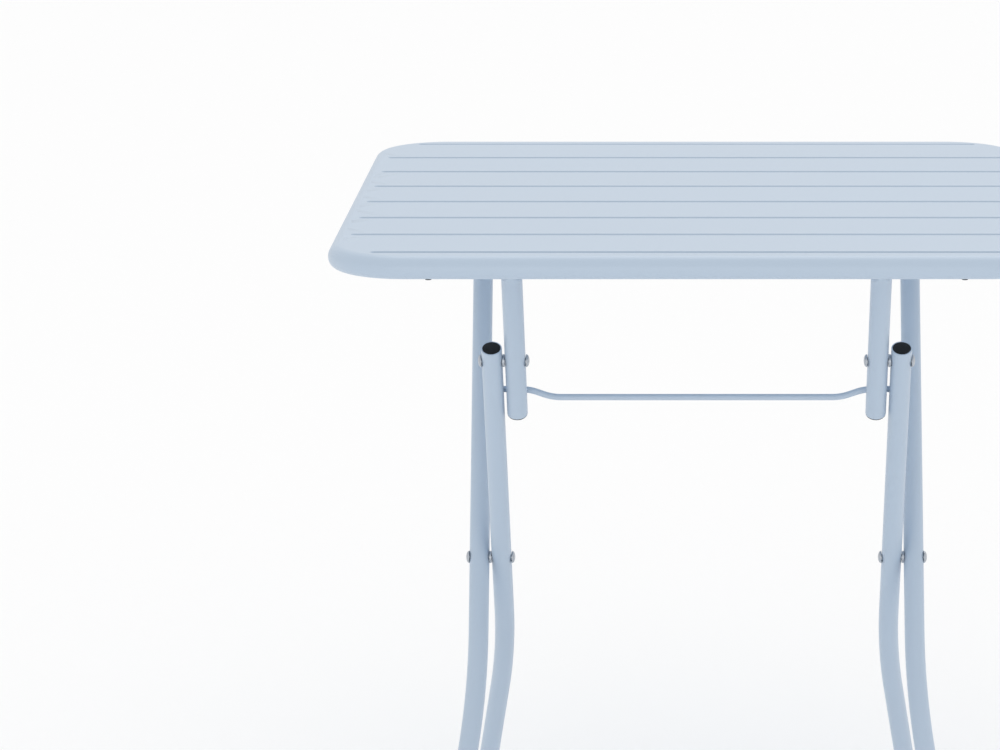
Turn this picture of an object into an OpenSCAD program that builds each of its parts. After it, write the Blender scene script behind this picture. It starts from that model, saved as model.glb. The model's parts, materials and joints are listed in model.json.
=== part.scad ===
// Folding steel picnic table, shown open and standing on the floor.
// Frame: origin on the floor under the middle of the top, +Z up, +X to the right
// along the pressed slats, +Y to the rear. Millimetres.

/* [Top] */
// Width of the top, along X
top_w = 712; // [600:1:800]
// Depth of the top, along Y
top_d = 706; // [600:1:800]
// Height of the top surface above the floor
table_h = 710; // [680:1:740]
// Radius of the top's corners in plan
corner_r = 78; // [60:1:90]
// Thickness of the pressed steel sheet
sheet_t = 1.2; // [0.8:0.1:1.6]
// Full depth of the turned-down rim
rim_depth = 22.5; // [22:0.5:26]
// Radius of the bend between the top and the rim
edge_r = 12; // [9:0.5:12]
// Outer radius of the turned-in lower edge of the rim
hem_r = 9.5; // [6:0.5:9.5]
// Number of pressed grooves
groove_count = 8; // [6:1:9]
// Distance between neighbouring grooves
groove_pitch = 92.6; // [60:0.1:93]
// Radius of a groove's round section
groove_r = 6; // [4:0.5:8]
// Depth of a groove
groove_depth = 1.6; // [0.8:0.1:2]
// Gap between a groove's end and the side of the top
groove_inset = 16; // [14:1:30]
// The same gap for the first and last groove, which end inside the corners
border_inset = 43; // [40:1:60]

/* [Tubes] */
// Outside diameter of the frame tube
tube_d = 21; // [19:0.5:22]
// Wall thickness of the frame tube
tube_t = 1.2; // [1:0.1:2]
// Distance from the middle of the table to an outer leg
outer_x = 230; // [210:1:250]
// Sideways distance between neighbouring tubes
tube_step = 23.5; // [23:0.1:25]
// Height of the scissor pivot above the floor
cross_h = 320; // [310:1:330]
// Lean of the inner legs, whose tops lie to the front
inner_lean = 29.9; // [28:0.1:31]
// Lean of the outer legs, whose tops lie to the rear
outer_lean = 25.75; // [24:0.05:27]
// Depth of the top hinges below the top surface
hinge_drop = 30; // [29:0.5:34]
// Distance from the scissor pivot up the inner leg to the knee
knee_l = 281; // [275:1:290]
// Length of inner leg above the knee
leg_over = 16.5; // [14:0.5:20]
// Length of strut below the knee
strut_tail = 72; // [65:1:80]
// Outward splay of the lower legs
splay = 8.2; // [6:0.1:10]
// Straight length between the scissor pivot and the splay bend
splay_start = 80; // [40:1:90]
// Length of the splay bend
splay_len = 120; // [110:1:160]
// Bend radius where the outer legs turn into their crossbar
bow_r = 42; // [38:1:60]

/* [Joint parts] */
// Diameter of a pivot rivet's shank
pin_d = 6; // [5:0.5:7]
// Radial running clearance of a pivot
pin_gap = 0.05; // [0.02:0.01:0.1]
// Diameter of a pivot rivet's head
head_d = 13; // [11:0.5:14]
// Height of a pivot rivet's head
head_h = 3.6; // [2.5:0.1:4]
// Clearance between parts that turn against each other
turn_gap = 0.3; // [0.2:0.05:0.5]
// Diameter of the stop rod behind the struts
rod_d = 6.5; // [5:0.5:8]
// Distance from the knee down to the stop rod's ends
rod_below = 52; // [45:1:58]
// Drop of the stop rod's middle stretch
rod_drop = 11.2; // [5:0.1:14]
// Thickness of the strut's flattened eye
eye_t = 6; // [5:0.5:8]
// Radius of the strut's flattened eye
eye_r = 11; // [9:0.5:12]
// Sheet thickness of the brackets
bracket_t = 2; // [1.5:0.1:2.5]

/* [Rails and feet] */
// Width of a rail under the top
rail_w = 32; // [28:1:40]
// Height of a rail under the top
rail_h = 12; // [10:0.5:12]
// Length of a rail under the top
rail_l = 600; // [500:5:620]
// Wall thickness of a rail
rail_t = 1.2; // [1:0.1:2]
// Outside diameter of a foot cap
foot_d = 25; // [24:0.5:28]
// Length of leg covered by a foot cap
foot_cover = 26; // [18:1:32]
// Diameter of a rim bumper
bumper_d = 6; // [6:0.5:10]

/* [Hidden] */
$fn = 48;

coat = "lightsteelblue";
zinc = "silver";
plastic = "dimgray";

inner_x = outer_x - tube_step;
strut_x = inner_x - tube_step;
bore_d = tube_d - 2 * tube_t;
tube_r = tube_d / 2;
hinge_z = table_h - hinge_drop;
inner_up = (hinge_z - cross_h) / cos(inner_lean);   // scissor pivot to front hinge
outer_up = (hinge_z - cross_h) / cos(outer_lean);   // scissor pivot to crossbar
strut_l = inner_up - knee_l;                        // knee to front hinge
front_y = -inner_up * sin(inner_lean);
rear_y = outer_up * sin(outer_lean);
splay_r = splay_len / (splay * PI / 180);
under_z = table_h - sheet_t;
rail_z = under_z - rail_h;
hole_d = pin_d + 2 * pin_gap;
rod_y = tube_r + rod_d / 2 + turn_gap;
eye_len = 24;                                       // flattened length of a strut
tube_back = 10;                                     // tube end to floor, along the leg
bow_exit = 17;                                      // slope at which the crossbar leaves its saddle
weld_lap = 0.5;                                     // overlap of two lengths of tube at a bend
weld_step = 0.04;                                   // and the step that keeps their faces apart
saddle_t = 2.5;
saddle_w = 20;
saddle_x = strut_x - 6;                             // clear of the bow's curve
base_w = 26;
base_l = 62;                                        // length of a bracket's base
rivet_step = 46;                                    // distance between a base's two rivets
rivet_d = 4;
bumper_proud = 0.9;                                 // how far a bumper stands below the rim

module mirrored() { mirror([1, 0, 0]) children(); }
module both_sides() { children(); mirrored() children(); }

// ---- shared shapes ----

// 2D rounded rectangle with true arcs
module plan(w, d, r) {
    square([w - 2 * r, d], center = true);
    square([w, d - 2 * r], center = true);
    for (x = [-1, 1], y = [-1, 1])
        translate([x * (w / 2 - r), y * (d / 2 - r)]) circle(r, $fn = 96);
}

// 2D profile in (Y, Z), given thickness t along X and centred on it
module side_plate(t) { rotate([90, 0, 90]) linear_extrude(t, center = true) children(); }

// cylinder along X, centred
module x_rod(d, l) { rotate([0, 90, 0]) cylinder(d = d, h = l, center = true); }

// domed rivet head standing along +X from the plane x = 0
module dome(d = head_d, h = head_h) {
    ball_r = (d * d / 4 + h * h) / (2 * h);
    rotate([0, 90, 0]) rotate_extrude() intersection() {
        translate([0, h - ball_r]) circle(ball_r, $fn = 96);
        square([d / 2, h]);
    }
}

// pivot rivet between the planes x = x0 and x = x1
module pivot_rivet(x0, x1, d = pin_d, hd = head_d, hh = head_h) {
    translate([(x0 + x1) / 2, 0, 0]) x_rod(d, x1 - x0 + 0.02);
    translate([x1, 0, 0]) dome(hd, hh);
    translate([x0, 0, 0]) mirrored() dome(hd, hh);
}

module washer(x0, x1) {
    translate([(x0 + x1) / 2, 0, 0]) difference() {
        x_rod(head_d, x1 - x0);
        x_rod(hole_d, x1 - x0 + 2);
    }
}

// leg frame: origin at the scissor pivot, +Z up along the leg
module inner_frame() { translate([0, 0, cross_h]) rotate([inner_lean, 0, 0]) children(); }
module outer_frame() { translate([0, 0, cross_h]) rotate([-outer_lean, 0, 0]) children(); }
module knee_frame() { inner_frame() translate([0, 0, knee_l]) children(); }

// end of a right leg's splay bend, with -Z along the lower leg
module splay_end() {
    translate([splay_r * (1 - cos(splay)), 0, -splay_start - splay_r * sin(splay)])
        rotate([0, -splay, 0]) children();
}

function lower_l(lean) = (cross_h / cos(lean) - splay_start - splay_r * sin(splay)) / cos(splay);

// 2D section of the frame tube
module tube_section(inset = 0) {
    difference() {
        circle(d = tube_d - 2 * inset);
        circle(d = bore_d + 2 * inset);
    }
}

// right leg below its straight upper tube, which ends at -Z splay_start
module lower_tube(lean) {
    translate([splay_r, 0, -splay_start]) rotate([-90, 0, 180])
        rotate_extrude(angle = splay, $fn = 720) translate([splay_r, 0]) tube_section();
    splay_end() translate([0, 0, -lower_l(lean) + tube_back])
        linear_extrude(lower_l(lean) - tube_back + weld_lap) tube_section(weld_step);
}

// straight upper tube of a leg, drilled through at the given heights
module upper_tube(top, holes) {
    difference() {
        translate([0, 0, -splay_start]) linear_extrude(splay_start + top) tube_section();
        for (z = holes) translate([0, 0, z]) x_rod(hole_d, 2 * tube_d);
    }
}

module foot(lean) {
    difference() {
        splay_end() translate([0, 0, -lower_l(lean)]) difference() {
            translate([0, 0, -12]) cylinder(d = foot_d, h = 12 + tube_back + foot_cover);
            translate([0, 0, tube_back]) cylinder(d = tube_d, h = foot_cover + 1);
        }
        rotate([-lean, 0, 0]) translate([0, 0, -cross_h - 50]) cube([900, 900, 100], center = true);
    }
}

// ---- tabletop body ----

// X and Y of the middle of each rivet pair that holds a bracket or a saddle
rivet_rows = [[strut_x, front_y], [saddle_x, rear_y]];

groove_y = [for (i = [0 : groove_count - 1]) (i - (groove_count - 1) / 2) * groove_pitch];
function groove_half(i) =
    top_w / 2 - ((i == 0 || i == groove_count - 1) ? border_inset : groove_inset) - groove_r;

// a round bar with ball ends, sunk in the top so that it leaves a groove
module groove_bar(half, r) {
    translate([0, 0, table_h - groove_depth + groove_r]) {
        x_rod(2 * r, 2 * half);
        for (x = [-half, half]) translate([x, 0, 0]) sphere(r);
    }
}

// 2D section of the rim: edge bend, short wall and turned-in lip; x = 0 is the outer face
module rim_section() {
    translate([-edge_r, -edge_r]) intersection() {
        difference() {
            circle(edge_r, $fn = 96);
            circle(edge_r - sheet_t, $fn = 96);
        }
        square(edge_r);
    }
    translate([-sheet_t, -rim_depth + hem_r]) square([sheet_t, rim_depth - edge_r - hem_r]);
    translate([-hem_r, -rim_depth + hem_r]) intersection() {
        difference() {
            circle(hem_r, $fn = 96);
            circle(hem_r - sheet_t, $fn = 96);
        }
        translate([-hem_r, -hem_r]) square([2 * hem_r, hem_r]);
    }
}

module rim() {
    for (a = [0, 90, 180, 270]) {
        w = a % 180 == 0 ? top_w : top_d;
        run = (a % 180 == 0 ? top_d : top_w) - 2 * corner_r;
        rotate([0, 0, a]) translate([w / 2, run / 2, 0]) rotate([90, 0, 0])
            linear_extrude(run) rim_section();
    }
    for (x = [-1, 1], y = [-1, 1])
        translate([x * (top_w / 2 - corner_r), y * (top_d / 2 - corner_r), 0])
            rotate([0, 0, x > 0 ? (y > 0 ? 0 : 270) : (y > 0 ? 90 : 180)])
                rotate_extrude(angle = 90, $fn = 96) translate([corner_r, 0]) rim_section();
}

module tabletop_sheet() {
    color(coat) union() {
        translate([0, 0, table_h]) rim();
        difference() {
            union() {
                translate([0, 0, under_z]) linear_extrude(sheet_t)
                    plan(top_w - 2 * edge_r, top_d - 2 * edge_r, corner_r - edge_r);
                intersection() {
                    for (i = [0 : groove_count - 1])
                        translate([0, groove_y[i], 0]) groove_bar(groove_half(i), groove_r + sheet_t);
                    translate([-top_w / 2, -top_d / 2, under_z - 4]) cube([top_w, top_d, 4 + sheet_t / 2]);
                }
            }
            for (i = [0 : groove_count - 1])
                translate([0, groove_y[i], 0]) groove_bar(groove_half(i), groove_r);
        }
    }
}

// hat channel welded under the sheet, notched over the grooves' ridges
module rail() {
    color(coat) difference() {
        translate([strut_x - rail_w / 2, -rail_l / 2, rail_z]) cube([rail_w, rail_l, rail_h]);
        translate([strut_x - rail_w / 2 + rail_t, -rail_l / 2 - 1, rail_z + rail_t])
            cube([rail_w - 2 * rail_t, rail_l + 2, rail_h]);
        for (y = groove_y) translate([strut_x - rail_w, y - groove_r - 2.5, under_z - 3])
            cube([2 * rail_w, 2 * groove_r + 5, 4]);
        for (at = rivet_rows, s = [-1, 1])
            translate([at[0], at[1] + s * rivet_step / 2, rail_z - 1]) cylinder(d = rivet_d, h = 4);
    }
}

module bracket_base(x, w) {
    translate([x - w / 2, -base_l / 2, rail_z - bracket_t]) difference() {
        cube([w, base_l, bracket_t]);
        for (s = [-1, 1]) translate([w / 2, base_l / 2 + s * rivet_step / 2, -1])
            cylinder(d = rivet_d, h = bracket_t + 2);
    }
}

module front_bracket() {
    ear_x = eye_t / 2 + 1 + bracket_t / 2;
    color(coat) translate([0, front_y, 0]) union() {
        bracket_base(strut_x, base_w);
        for (s = [-1, 1]) translate([strut_x + s * ear_x, 0, hinge_z]) side_plate(bracket_t)
            difference() {
                union() {
                    circle(eye_r);
                    translate([-eye_r, 0]) square([2 * eye_r, rail_z - bracket_t / 2 - hinge_z]);
                }
                circle(d = hole_d);
            }
    }
}

// strap that cups the crossbar from above and in front, open to the rear
module rear_saddle() {
    seat_r = tube_r + turn_gap;
    color(coat) translate([0, rear_y, 0]) union() {
        bracket_base(saddle_x, saddle_w);
        translate([saddle_x, 0, hinge_z]) side_plate(saddle_w) {
            difference() {
                circle(seat_r + saddle_t);
                circle(seat_r);
                rotate(-bow_exit) translate([0, -2 * seat_r]) square(4 * seat_r);
            }
            difference() {
                translate([-7, 0]) square([10, rail_z - bracket_t / 2 - hinge_z]);
                circle(seat_r + saddle_t / 2);
            }
        }
    }
}

module bracket_rivets() {
    grip = rail_t + bracket_t;
    color(zinc) both_sides() for (at = rivet_rows, s = [-1, 1])
        translate([at[0], at[1] + s * rivet_step / 2, rail_z + rail_t]) rotate([0, 90, 0])
            pivot_rivet(0, grip, rivet_d - 0.06, 8, 1.6);
}

module front_hinge_pins() {
    half = eye_t / 2 + 1 + bracket_t;
    color(zinc) both_sides() translate([strut_x, front_y, hinge_z])
        pivot_rivet(-half, half, pin_d, 11, 2.4);
}

// soft pads under the front rim, where the folded outer legs come to lie
module rim_bumpers() {
    pad_x = outer_x + 25;
    pad_y = -top_d / 2 + hem_r + 2;
    color(plastic) both_sides() translate([pad_x, pad_y, table_h - rim_depth - bumper_proud]) difference() {
        cylinder(d = bumper_d, h = 4);
        translate([0, -2, bumper_proud + hem_r]) x_rod(2 * hem_r, 2 * bumper_d);
    }
}

// ---- strut body ----

module strut() {
    color(coat) knee_frame() translate([strut_x, 0, 0]) difference() {
        union() {
            translate([0, 0, -strut_tail]) cylinder(d = tube_d, h = strut_tail + strut_l - eye_len);
            translate([0, 0, strut_l]) side_plate(eye_t) {
                circle(eye_r);
                translate([-eye_r, -eye_len - 4]) square([2 * eye_r, eye_len + 4]);
            }
        }
        translate([0, 0, -strut_tail - 1]) cylinder(d = bore_d, h = strut_tail + strut_l - eye_len - 3);
        x_rod(hole_d, 2 * tube_d);
        translate([0, 0, strut_l]) x_rod(hole_d, 2 * tube_d);
    }
}

// push-in plug with a thin flange, closing a tube end that faces -Z
module end_plug() {
    translate([0, 0, -1.5]) cylinder(d = tube_d - 0.4, h = 1.5);
    cylinder(d = bore_d, h = 12);
}

module strut_end_plugs() {
    color(plastic) both_sides() knee_frame() translate([strut_x, 0, -strut_tail]) end_plug();
}

// ---- inner legs body ----

module inner_leg() {
    leg_top = knee_l + leg_over;
    color(coat) inner_frame() translate([inner_x, 0, 0]) union() {
        lower_tube(inner_lean);
        upper_tube(leg_top, [0, knee_l]);
    }
}

module rod_piece(a, b) {
    run = b - a;
    translate(a) rotate([0, atan2(run[0], run[2]), 0]) cylinder(d = rod_d, h = norm(run));
}

// bent rod across the back of both inner legs, which stops the struts in line with them
module stop_rod() {
    high = -rod_below;
    low = high - rod_drop;
    bends = [[inner_x + tube_r, 0, high], [strut_x - 11.5, 0, high], [strut_x - 35.5, 0, low], [0, 0, low]];
    color(coat) knee_frame() difference() {
        translate([0, rod_y, 0]) {
            for (s = [-1, 1]) translate([s * inner_x, -0.8, high]) x_rod(rod_d + 2, 12);
            both_sides() for (i = [0 : 1]) {
                rod_piece(bends[i], bends[i + 1]);
                translate(bends[i + 1]) sphere(d = rod_d + 2 * weld_step);
            }
            translate([0, 0, low]) x_rod(rod_d, 2 * bends[2][0]);
        }
        for (s = [-1, 1]) translate([s * inner_x, 0, -2 * rod_below]) cylinder(d = tube_d, h = 2 * rod_below);
    }
}

module inner_top_caps() {
    color(plastic) both_sides() knee_frame() translate([inner_x, 0, leg_over - 11]) difference() {
        cylinder(d = bore_d, h = 11);
        translate([0, 0, -1]) cylinder(d = bore_d - 4, h = 8);
    }
}

module inner_foot() { color(plastic) inner_frame() translate([inner_x, 0, 0]) foot(inner_lean); }

module knee_rivets() {
    color(zinc) both_sides() knee_frame()
        pivot_rivet(strut_x - tube_r - turn_gap, inner_x + tube_r);
}

module knee_washers() {
    color(zinc) both_sides() knee_frame() washer(strut_x + tube_r + turn_gap, inner_x - tube_r);
}

// ---- outer legs body ----

module outer_leg() {
    color(coat) outer_frame() translate([outer_x, 0, 0]) union() {
        lower_tube(outer_lean);
        upper_tube(outer_up - bow_r, [0]);
        translate([-bow_r, 0, outer_up - bow_r]) rotate([90, 0, 0])
            rotate_extrude(angle = 90, $fn = 96) translate([bow_r, 0]) tube_section();
    }
}

module outer_crossbar() {
    bar_l = 2 * (outer_x - bow_r);
    color(coat) outer_frame() translate([0, 0, outer_up]) difference() {
        x_rod(tube_d, bar_l);
        x_rod(bore_d, bar_l + 2);
    }
}

module outer_foot() { color(plastic) outer_frame() translate([outer_x, 0, 0]) foot(-outer_lean); }

module cross_rivets() {
    color(zinc) both_sides() outer_frame()
        pivot_rivet(inner_x - tube_r - turn_gap, outer_x + tube_r);
}

module cross_washers() {
    color(zinc) both_sides() outer_frame() washer(inner_x + tube_r + turn_gap, outer_x - tube_r);
}

tabletop_sheet();
mirrored() rail();  // rail_left
rail();  // rail_right
mirrored() front_bracket();  // front_bracket_left
front_bracket();  // front_bracket_right
mirrored() rear_saddle();  // rear_saddle_left
rear_saddle();  // rear_saddle_right
bracket_rivets();
front_hinge_pins();
rim_bumpers();
mirrored() strut();  // strut_left
strut();  // strut_right
strut_end_plugs();
mirrored() inner_leg();  // inner_leg_left
inner_leg();  // inner_leg_right
stop_rod();
inner_top_caps();
mirrored() inner_foot();  // inner_foot_left
inner_foot();  // inner_foot_right
knee_rivets();
knee_washers();
mirrored() outer_leg();  // outer_leg_left
outer_leg();  // outer_leg_right
outer_crossbar();
mirrored() outer_foot();  // outer_foot_left
outer_foot();  // outer_foot_right
cross_rivets();
cross_washers();
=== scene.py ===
import json
import math
import bmesh
import bpy
import numpy as np
from mathutils import Matrix, Vector
from mathutils.geometry import delaunay_2d_cdt


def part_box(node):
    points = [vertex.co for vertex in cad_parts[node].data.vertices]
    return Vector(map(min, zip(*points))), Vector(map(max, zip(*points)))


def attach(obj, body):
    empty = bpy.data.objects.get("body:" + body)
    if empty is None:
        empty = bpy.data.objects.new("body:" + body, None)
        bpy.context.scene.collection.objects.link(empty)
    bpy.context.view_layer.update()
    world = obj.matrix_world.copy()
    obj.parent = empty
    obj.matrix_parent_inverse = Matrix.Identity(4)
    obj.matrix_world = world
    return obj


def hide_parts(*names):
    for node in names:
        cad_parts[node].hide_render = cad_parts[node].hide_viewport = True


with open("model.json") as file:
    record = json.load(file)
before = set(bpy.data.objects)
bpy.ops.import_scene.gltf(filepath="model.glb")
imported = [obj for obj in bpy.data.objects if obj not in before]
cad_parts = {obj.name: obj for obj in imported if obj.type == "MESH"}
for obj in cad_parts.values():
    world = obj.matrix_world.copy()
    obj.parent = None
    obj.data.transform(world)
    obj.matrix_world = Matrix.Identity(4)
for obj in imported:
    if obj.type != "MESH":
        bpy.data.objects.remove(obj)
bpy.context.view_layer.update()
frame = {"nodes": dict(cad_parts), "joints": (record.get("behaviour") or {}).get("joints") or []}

mm = 0.001

# places and sizes read from the CAD frame

joints = {j["name"]: j for j in frame["joints"]}


def jointPlace(name):
    return Vector(joints[name]["pos_m"])


def boxMiddle(node):
    low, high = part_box(node)
    return (low + high) / 2


def boxSize(node):
    low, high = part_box(node)
    return high - low


hinge = jointPlace("strut_hinge")
knee = jointPlace("knee")
cross = jointPlace("scissor")
barMiddle = boxMiddle("outer_crossbar")
tubeRadius = boxSize("outer_crossbar").z / 2
strutX = boxMiddle("strut_right").x
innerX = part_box("knee_washers")[1].x + tubeRadius
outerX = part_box("cross_washers")[1].x + tubeRadius
topLow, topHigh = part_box("tabletop_sheet")
topSurface = topHigh.z
innerUp = (knee - cross).normalized()        # up along the inner legs and the struts
outerUp = (barMiddle - cross)
outerUp.x = 0
barHeight = outerUp.length                   # scissor pivot to crossbar, along the outer leg
outerUp.normalize()

scene = bpy.context.scene
collection = scene.collection

# small helpers


def newObject(name, mesh, material=None):
    obj = bpy.data.objects.new(name, mesh)
    collection.objects.link(obj)
    if material is not None:
        mesh.materials.clear()
        mesh.materials.append(material)
    return obj


def cleanMesh(mesh, gap):
    # joins doubled points and turns every face outwards
    work = bmesh.new()
    work.from_mesh(mesh)
    bmesh.ops.remove_doubles(work, verts=work.verts, dist=gap)
    bmesh.ops.recalc_face_normals(work, faces=work.faces)
    work.to_mesh(mesh)
    work.free()


def meshFrom(name, points, faces, smooth=True):
    mesh = bpy.data.meshes.new(name)
    mesh.from_pydata([tuple(p) for p in points], [], faces)
    mesh.validate()
    cleanMesh(mesh, 1e-7)
    if smooth:
        mesh.shade_smooth()
    return mesh


def sharpen(mesh, angle=35):
    mesh.shade_smooth()
    mesh.set_sharp_from_angle(angle=math.radians(angle))


def ringFaces(count, sides):
    # quads between equal rings of points, with the first and the last ring closed
    faces = []
    for r in range(count - 1):
        for i in range(sides):
            k = (i + 1) % sides
            faces.append((r * sides + i, r * sides + k, (r + 1) * sides + k, (r + 1) * sides + i))
    faces.append(tuple(range(sides)))
    faces.append(tuple((count - 1) * sides + i for i in range(sides)))
    return faces


def mirrorCopy(points):
    return [Vector((-p.x, p.y, p.z)) for p in points]


def legFrame(up, origin, x):
    # local +Z runs up the leg, local +X to the right, local +Y to the rear
    right = Vector((1, 0, 0))
    back = up.cross(right)
    turn = Matrix((right, back, up)).transposed().to_4x4()
    return Matrix.Translation(origin + right * x) @ turn


def joinInto(target, *others):
    # adds other pieces' meshes to target, each with its own material
    mesh = target.data
    work = bmesh.new()
    work.from_mesh(mesh)
    for other in others:
        before = len(work.faces)
        work.from_mesh(other.data)
        material = next(m for m in other.data.materials if m)
        if material.name not in mesh.materials:
            mesh.materials.append(material)
        place = mesh.materials.find(material.name)
        work.faces.ensure_lookup_table()
        for face in work.faces[before:]:
            face.material_index = place
        old = other.data
        bpy.data.objects.remove(other)
        bpy.data.meshes.remove(old)
    work.to_mesh(mesh)
    work.free()
    sharpen(mesh)
    return target


def finishPiece(obj, body, slotName, *nodes):
    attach(obj, body)
    if nodes:
        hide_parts(*nodes)
    return obj


def applyTree(obj, tree, values, name, material):
    # runs a node tree on obj once and keeps the plain mesh that comes out
    modifier = obj.modifiers.new("build", "NODES")
    modifier.node_group = tree
    for item in tree.interface.items_tree:
        if item.item_type == "SOCKET" and item.in_out == "INPUT" and item.name in values:
            modifier[item.identifier] = values[item.name]
    depsgraph = bpy.context.evaluated_depsgraph_get()
    depsgraph.update()
    mesh = bpy.data.meshes.new_from_object(obj.evaluated_get(depsgraph))
    mesh.name = name
    old = obj.data
    bpy.data.objects.remove(obj)
    if isinstance(old, bpy.types.Mesh):
        bpy.data.meshes.remove(old)
    piece = newObject(name, mesh)
    if not any(mesh.materials):
        mesh.materials.clear()
        mesh.materials.append(material)
    return piece


# shader groups: the coat and the wear that several materials share


def shaderGroup(name, inputs, outputs):
    group = bpy.data.node_groups.new(name, "ShaderNodeTree")
    for label, kind, value in inputs:
        socket = group.interface.new_socket(label, in_out="INPUT", socket_type=kind)
        if value is not None:
            socket.default_value = value
    for label, kind in outputs:
        group.interface.new_socket(label, in_out="OUTPUT", socket_type=kind)
    start = group.nodes.new("NodeGroupInput")
    end = group.nodes.new("NodeGroupOutput")
    return group, start, end


def addNode(tree, kind, values=None, **settings):
    node = tree.nodes.new(kind)
    for key, value in settings.items():
        setattr(node, key, value)
    for key, value in (values or {}).items():
        node.inputs[key].default_value = value
    return node


def makeCoatGroup():
    # powder coat: fine orange peel, a slow drift of tone and a few pinholes
    group, start, end = shaderGroup(
        "powderCoat",
        [("Color", "NodeSocketColor", (0.5, 0.6, 0.75, 1)), ("Peel Scale", "NodeSocketFloat", 900.0),
         ("Peel Depth", "NodeSocketFloat", 0.25), ("Drift", "NodeSocketFloat", 0.05),
         ("Roughness", "NodeSocketFloat", 0.45)],
        [("Color", "NodeSocketColor"), ("Roughness", "NodeSocketFloat"), ("Normal", "NodeSocketVector")])
    link = group.links.new
    place = addNode(group, "ShaderNodeTexCoord")
    peel = addNode(group, "ShaderNodeTexNoise", {"Detail": 3.0, "Roughness": 0.55})
    link(place.outputs["Object"], peel.inputs["Vector"])
    link(start.outputs["Peel Scale"], peel.inputs["Scale"])
    drift = addNode(group, "ShaderNodeTexNoise", {"Scale": 3.5, "Detail": 4.0, "Roughness": 0.6})
    link(place.outputs["Object"], drift.inputs["Vector"])
    speck = addNode(group, "ShaderNodeTexVoronoi", {"Scale": 170.0, "Randomness": 1.0})
    link(place.outputs["Object"], speck.inputs["Vector"])
    pinhole = addNode(group, "ShaderNodeMapRange",
                      {"From Min": 0.035, "From Max": 0.075, "To Min": 1.0, "To Max": 0.0})
    link(speck.outputs["Distance"], pinhole.inputs["Value"])
    rare = addNode(group, "ShaderNodeMath", {1: 0.80}, operation="GREATER_THAN")
    tone = addNode(group, "ShaderNodeSeparateColor")
    link(speck.outputs["Color"], tone.inputs["Color"])
    link(tone.outputs["Red"], rare.inputs[0])
    holes = addNode(group, "ShaderNodeMath", operation="MULTIPLY")
    link(pinhole.outputs["Result"], holes.inputs[0])
    link(rare.outputs["Value"], holes.inputs[1])
    # tone = 1 + (drift - 0.5) * Drift + (peel - 0.5) * 0.05 - holes * 0.07
    driftShift = addNode(group, "ShaderNodeMath", {1: 0.5}, operation="SUBTRACT")
    link(drift.outputs["Fac"], driftShift.inputs[0])
    driftPart = addNode(group, "ShaderNodeMath", {2: 1.0}, operation="MULTIPLY_ADD")
    link(driftShift.outputs["Value"], driftPart.inputs[0])
    link(start.outputs["Drift"], driftPart.inputs[1])
    peelShift = addNode(group, "ShaderNodeMath", {1: 0.5}, operation="SUBTRACT")
    link(peel.outputs["Fac"], peelShift.inputs[0])
    peelPart = addNode(group, "ShaderNodeMath", {1: 0.05}, operation="MULTIPLY")
    link(peelShift.outputs["Value"], peelPart.inputs[0])
    sumTone = addNode(group, "ShaderNodeMath", operation="ADD")
    link(driftPart.outputs["Value"], sumTone.inputs[0])
    link(peelPart.outputs["Value"], sumTone.inputs[1])
    holeTone = addNode(group, "ShaderNodeMath", {1: -0.07}, operation="MULTIPLY_ADD")
    link(holes.outputs["Value"], holeTone.inputs[0])
    link(sumTone.outputs["Value"], holeTone.inputs[2])
    paint = addNode(group, "ShaderNodeVectorMath", operation="SCALE")
    link(start.outputs["Color"], paint.inputs[0])
    link(holeTone.outputs["Value"], paint.inputs["Scale"])
    link(paint.outputs["Vector"], end.inputs["Color"])
    rough = addNode(group, "ShaderNodeMath", {1: 0.14}, operation="MULTIPLY_ADD")
    link(driftShift.outputs["Value"], rough.inputs[0])
    link(start.outputs["Roughness"], rough.inputs[2])
    link(rough.outputs["Value"], end.inputs["Roughness"])
    height = addNode(group, "ShaderNodeMath", {1: -1.5}, operation="MULTIPLY_ADD")
    link(holes.outputs["Value"], height.inputs[0])
    link(peel.outputs["Fac"], height.inputs[2])
    bump = addNode(group, "ShaderNodeBump", {"Distance": 0.0001})
    link(start.outputs["Peel Depth"], bump.inputs["Strength"])
    link(height.outputs["Value"], bump.inputs["Height"])
    link(bump.outputs["Normal"], end.inputs["Normal"])
    return group


def makeScuffGroup():
    # fine handling scuffs: stretched noise that shows as short bright lines
    group, start, end = shaderGroup(
        "scuffs",
        [("Scale", "NodeSocketFloat", 60.0), ("Amount", "NodeSocketFloat", 0.3)],
        [("Mask", "NodeSocketFloat")])
    link = group.links.new
    place = addNode(group, "ShaderNodeTexCoord")
    stretch = addNode(group, "ShaderNodeMapping")
    stretch.inputs["Scale"].default_value = (0.12, 1.0, 1.0)
    stretch.inputs["Rotation"].default_value = (0.0, 0.0, 0.35)
    link(place.outputs["Object"], stretch.inputs["Vector"])
    noise = addNode(group, "ShaderNodeTexNoise", {"Detail": 6.0, "Roughness": 0.7})
    link(stretch.outputs["Vector"], noise.inputs["Vector"])
    link(start.outputs["Scale"], noise.inputs["Scale"])
    cut = addNode(group, "ShaderNodeMapRange", {"From Min": 0.66, "From Max": 0.78})
    link(noise.outputs["Fac"], cut.inputs["Value"])
    mask = addNode(group, "ShaderNodeMath", operation="MULTIPLY")
    link(cut.outputs["Result"], mask.inputs[0])
    link(start.outputs["Amount"], mask.inputs[1])
    link(mask.outputs["Value"], end.inputs["Mask"])
    return group


coatGroup = makeCoatGroup()
scuffGroup = makeScuffGroup()


def newMaterial(name):
    material = bpy.data.materials.new(name)
    material.use_nodes = True
    tree = material.node_tree
    return material, tree, tree.nodes["Principled BSDF"]


def useGroup(tree, group, values):
    node = tree.nodes.new("ShaderNodeGroup")
    node.node_tree = group
    for key, value in values.items():
        node.inputs[key].default_value = value
    return node


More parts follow.
